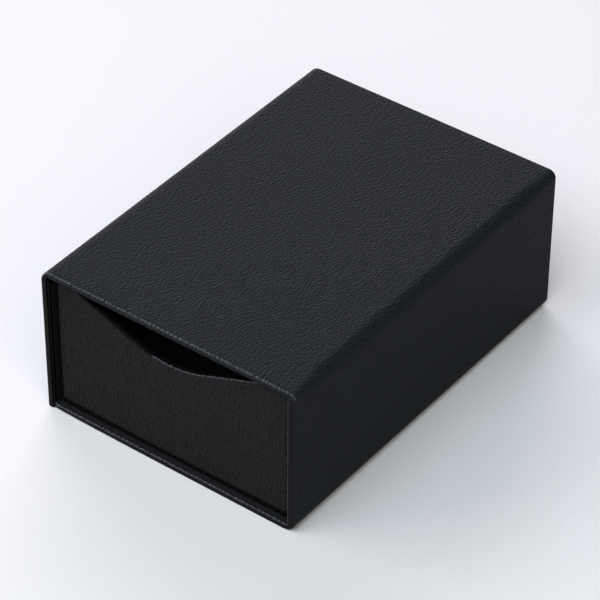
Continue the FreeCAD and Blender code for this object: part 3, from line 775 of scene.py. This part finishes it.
def tray_points():
    """Place = centre + place on the square x (half size - max(corner radius, inset)) + normal x
    what is left of the radius. The rim's edges are rounded along the rim's own normal, which
    leans where the notch slopes. Between foot and rim the height is shared out evenly."""
    half = np.array([TRAY_HIGH.x - TRAY_LOW.x, TRAY_HIGH.y - TRAY_LOW.y]) / 2
    centre = np.array([TRAY_HIGH.x + TRAY_LOW.x, TRAY_HIGH.y + TRAY_LOW.y]) / 2
    outer_r = edge_radius(centre[0] + path[:, 0] * half[0])
    radius = np.where(stretches <= FOOT, TRAY_FOOT_R,
                      np.where(stretches >= RIM_IN, ARRIS_R, outer_r))
    inset = inset_fixed + inset_round * radius
    drop = drop_round * radius
    shrunk = np.maximum(TRAY_CORNER_R, inset)[..., None]
    left_over = np.maximum(TRAY_CORNER_R - inset, 0)[..., None]
    flat = centre + path[:, None] * (half - shrunk) + path_normal[:, None] * left_over
    rim, slope = notch_rim(flat[..., 0])
    rim = np.where(on_front[:, None], rim, TRAY_HIGH.z)
    slope = np.where(on_front[:, None], slope, 0)
    length = np.sqrt(1 + slope ** 2)
    top = rim - drop / length
    notched = smooth((TRAY_HIGH.z - rim) / TURN_FADE)
    turn = TRAY_TURN_IN + (NOTCH_TURN_IN - TRAY_TURN_IN) * notched
    foot = np.where(stretches == INDOORS, rim - turn, TRAY_LOW.z + low_round * TRAY_FOOT_R)
    z = foot + (top - foot) * share
    x = flat[..., 0] + drop * share * slope / length
    return np.stack([x, flat[..., 1], z], axis=-1)


points = tray_points()
quads = grid_faces(len(path), len(share), wrap_rows=True)
print(f"tray wrap: {quads[..., 0].size} faces")

# %% Which leatherette on the tray
# Slots in order: the walls' skin, the painted shade over the foot, rim and inside, and the painted
# highlight on the notch's lip.
ON_WALL, ON_RIM_PAINTED_SHADE, ON_LIP_PAINTED_HIGHLIGHT = range(3)
rim_lines = np.flatnonzero(stretches == RIM_OUT)
drawn = np.where(np.isin(stretches[:-1], (WALL, RIM_OUT)), ON_WALL, ON_RIM_PAINTED_SHADE)
drawn[rim_lines[-1]] = ON_RIM_PAINTED_SHADE
rolled = np.isin(np.arange(len(drawn)), rim_lines[1:-1])
# The notch's edge right of LIP_X gets the painted highlight; the rest of the rolled rim keeps the
# painted shade.
tight = on_front & (points[:, 0, 0] > LIP_X)
drawn = np.where(rolled, np.where(tight, ON_LIP_PAINTED_HIGHLIGHT, ON_RIM_PAINTED_SHADE)[:, None], drawn)
sheet = flat_sheet(points, len(share) // 3, wrap_rows=True)
mesh = make_mesh("drawer_leatherette", points, quads, drawn, sheet)
add_piece(mesh, "drawer", (tray_skin, tray_painted_shade, sleeve_edge_highlight),
          ("drawer_cover",), LEATHERETTE)

# %% [markdown]
# ## Floor pad
# A loose card lies on the tray's floor. Suede paper is drawn over its face and folded round its
# edges, so its upper edges are soft and the face swells a little where air stays under the paper.
# It is a height over a rectangle, with the rows near the edge following a quarter round. A bevelled
# box would have the soft edge, but not the swell.

# %% Suede-covered pad
PAD_EDGE_R = 0.6 * MM
PAD_SWELL = 0.15 * MM
RINGS = 23                # rings of faces from the middle to the edge


def pad_points(steps_x, steps_y):
    """Top: height = highest - swell x (1 - root(sin(pi u) sin(pi v))), rounded over at the edges,
    then a wall down to the floor and the underside. Rings go round a square, from the middle."""
    path, normal = tray_path(steps_x, steps_x, steps_y, 4)
    half = np.array([PAD_HIGH.x - PAD_LOW.x, PAD_HIGH.y - PAD_LOW.y]) / 2
    centre = np.array([PAD_HIGH.x + PAD_LOW.x, PAD_HIGH.y + PAD_LOW.y]) / 2
    angle = np.linspace(0, math.pi / 2, 5)
    ring = np.concatenate([np.linspace(0, 1, RINGS + 1)[:-1], np.ones(len(angle)), [1, 0]])
    out = np.concatenate([np.zeros(RINGS), PAD_EDGE_R * np.sin(angle), [PAD_EDGE_R, 0]])
    down = np.concatenate([np.zeros(RINGS), PAD_EDGE_R * (1 - np.cos(angle)),
                           [PAD_HIGH.z - PAD_LOW.z] * 2])
    flat = centre + path[:, None] * (half - PAD_EDGE_R) * ring[None, :, None]
    flat = flat + normal[:, None] * out[None, :, None]
    u = np.clip((flat[..., 0] - PAD_LOW.x) / (2 * half[0]), 0, 1)
    v = np.clip((flat[..., 1] - PAD_LOW.y) / (2 * half[1]), 0, 1)
    swell = PAD_SWELL * (1 - np.sqrt(np.sin(math.pi * u) * np.sin(math.pi * v)))
    z = np.maximum(PAD_HIGH.z - swell - down, PAD_LOW.z)
    return np.stack([flat[..., 0], flat[..., 1], z], axis=-1)


points = pad_points(steps_x=30, steps_y=46)
quads = grid_faces(*points.shape[:2], wrap_rows=True)[..., ::-1]
mesh = make_mesh("drawer_floor_pad", points, quads)
add_piece(mesh, "drawer", (suede,), ("drawer_floor_suede",))

# %% [markdown]
# ## Floor
# The box stands on white card. Card is matt, with a fine tooth that breaks up the light, so a
# noise of about a millimetre moves its colour by a few steps. A plane of one flat colour would
# look like no material at all. It is wide enough to fill the view from any side.

# %% Floor of white card
TOOTH = 1.111 * MM        # width of a speck in the card, drawn coarser than real
REACH = 3.0               # from the box to the card's edge


def white_card():
    """Matt white card: noise of the tooth's width picks a colour between two near whites."""
    made, tree, shader = new_material("matt_white_card")
    place = add(tree, "TexCoord")
    tooth = add(tree, "TexNoise", {"Scale": 1 / TOOTH, "Detail": 3.0},
                {"Vector": (place, "Object")})
    tone = add(tree, "ValToRGB", {"stops": [(0.3, "#ebe8e8"), (0.7, "#eeebeb")]},
               {"Fac": (tooth, "Fac")})
    tree.links.new(tone.outputs["Color"], shader.inputs["Base Color"])
    shader.inputs["Roughness"].default_value = 0.9
    shader.inputs["Specular IOR Level"].default_value = 0.1
    return made


mesh = bpy.data.meshes.new("floor")
mesh.from_pydata([(-REACH, -REACH, 0), (REACH, -REACH, 0), (REACH, REACH, 0), (-REACH, REACH, 0)],
                 [], [(0, 1, 2, 3)])
mesh.materials.append(white_card())
floor = bpy.data.objects.new("floor", mesh)
bpy.context.scene.collection.objects.link(floor)
print(f"floor {2 * REACH} m wide")

# %% [markdown]
# ## Light
# A product is lit from large soft sources, so that each face gets one even tone. The strongest
# stands low behind on the left: it grazes the top and throws the soft shadow to the front right.
# One in front on the left draws the light lines along the edges, on top of their painted highlight,
# one above lights the tray's front, and one on the right keeps the side from going black. A sun
# would give hard shadows. The world adds a faint even light, and shows the camera plain white where
# the floor ends.

# %% Soft boxes
CENTRE = Vector((0, 0, TOP / 2))
LAMP_REACH = 2.2          # from the box to each lamp


def soft_box(name, direction, size, power, colour):
    """Square soft box that stands in the given direction from the box and faces it."""
    lamp = bpy.data.lights.new(name, "AREA")
    lamp.shape = "SQUARE"
    lamp.size = size
    lamp.energy = power
    lamp.color = linear(colour)[:3]
    made = bpy.data.objects.new(name, lamp)
    made.location = CENTRE + Vector(direction).normalized() * LAMP_REACH
    made.rotation_euler = (CENTRE - made.location).to_track_quat("-Z", "Y").to_euler()
    bpy.context.scene.collection.objects.link(made)


soft_box("window_back", (-0.7, 0.7, 0.35), size=2.0, power=57.0, colour="#f6f4ff")
soft_box("window_left", (-0.7, -0.5, 0.5), size=1.6, power=20.0, colour="#ffefeb")
soft_box("overhead_front", (0.0, -0.5, 0.85), size=1.6, power=31.5, colour="#dff2ff")
soft_box("fill_right", (0.5, -0.5, 0.7), size=1.6, power=19.0, colour="#fffff9")
print("lamps:", [lamp.name for lamp in bpy.data.lights])

# %% World
ON_OBJECT, TO_CAMERA = 0.02, 1.0    # strength of the world's light, and of what the camera sees
world = bpy.data.worlds.new("studio")
bpy.context.scene.world = world
world.use_nodes = True
world.node_tree.nodes.clear()
ray = add(world.node_tree, "LightPath")
strength = add(world.node_tree, "MapRange", {"To Min": ON_OBJECT, "To Max": TO_CAMERA},
               {"Value": (ray, "Is Camera Ray")})
sky = add(world.node_tree, "Background", {"Color": linear("#f6f8ff")},
          {"Strength": (strength, "Result")})
add(world.node_tree, "OutputWorld", links={"Surface": (sky, "Background")})
print("world:", world.name)

# %% [markdown]
# ## Camera
# The view is from the front right and from above, through a long lens from over a metre away, so
# that the edges stay almost parallel. A short lens nearby would spread the near corner.

# %% Camera
def make_camera(azimuth, elevation, distance, right_shift, down_shift, roll, lens):
    """Camera on a sphere round the middle of the box, turned to a point beside that middle, and
    then rolled. Its axes are right, up and back, as columns."""
    az, el, turn = math.radians(azimuth), math.radians(elevation), math.radians(roll)
    away = Vector((math.cos(el) * math.sin(az), -math.cos(el) * math.cos(az), math.sin(el)))
    place = CENTRE + away * distance
    right = Vector((0, 0, 1)).cross(away).normalized()
    down = right.cross(away)
    aim = CENTRE + right * right_shift + down * down_shift
    back = (place - aim).normalized()
    right = Vector((0, 0, 1)).cross(back).normalized()
    down = right.cross(back)
    right, down = (right * math.cos(turn) - down * math.sin(turn),
                   right * math.sin(turn) + down * math.cos(turn))
    axes = Matrix((right, -down, back)).transposed()
    data = bpy.data.cameras.new("camera")
    data.lens = lens
    data.sensor_width = 36.0
    data.clip_end = 20.0
    made = bpy.data.objects.new("camera", data)
    made.matrix_world = Matrix.Translation(place) @ axes.to_4x4()
    bpy.context.scene.collection.objects.link(made)
    bpy.context.scene.camera = made
    return made


camera = make_camera(azimuth=36.7939, elevation=38.8917, distance=1105.52 * MM,
                     right_shift=-1.16325 * MM, down_shift=4.24314 * MM, roll=0.33, lens=185.762)
bpy.context.scene.view_settings.view_transform = "Standard"
bpy.context.view_layer.update()


def in_frame(point, size=600):
    """Pixel of a point in a square picture, from the top left."""
    seen = camera.matrix_world.inverted() @ Vector(point)
    scale = camera.data.lens / camera.data.sensor_width * size / -seen.z
    return round(size / 2 + seen.x * scale, 1), round(size / 2 - seen.y * scale, 1)


for corner in ((LEFT, FRONT, TOP), (RIGHT, FRONT, TOP), (RIGHT, BACK, TOP), (LEFT, FRONT, GROUND)):
    print("corner in the picture:", in_frame(corner))

# %% [markdown]
# ## Finish
# The view layer is brought up to date at the end.

# %% Finish
bpy.context.view_layer.update()
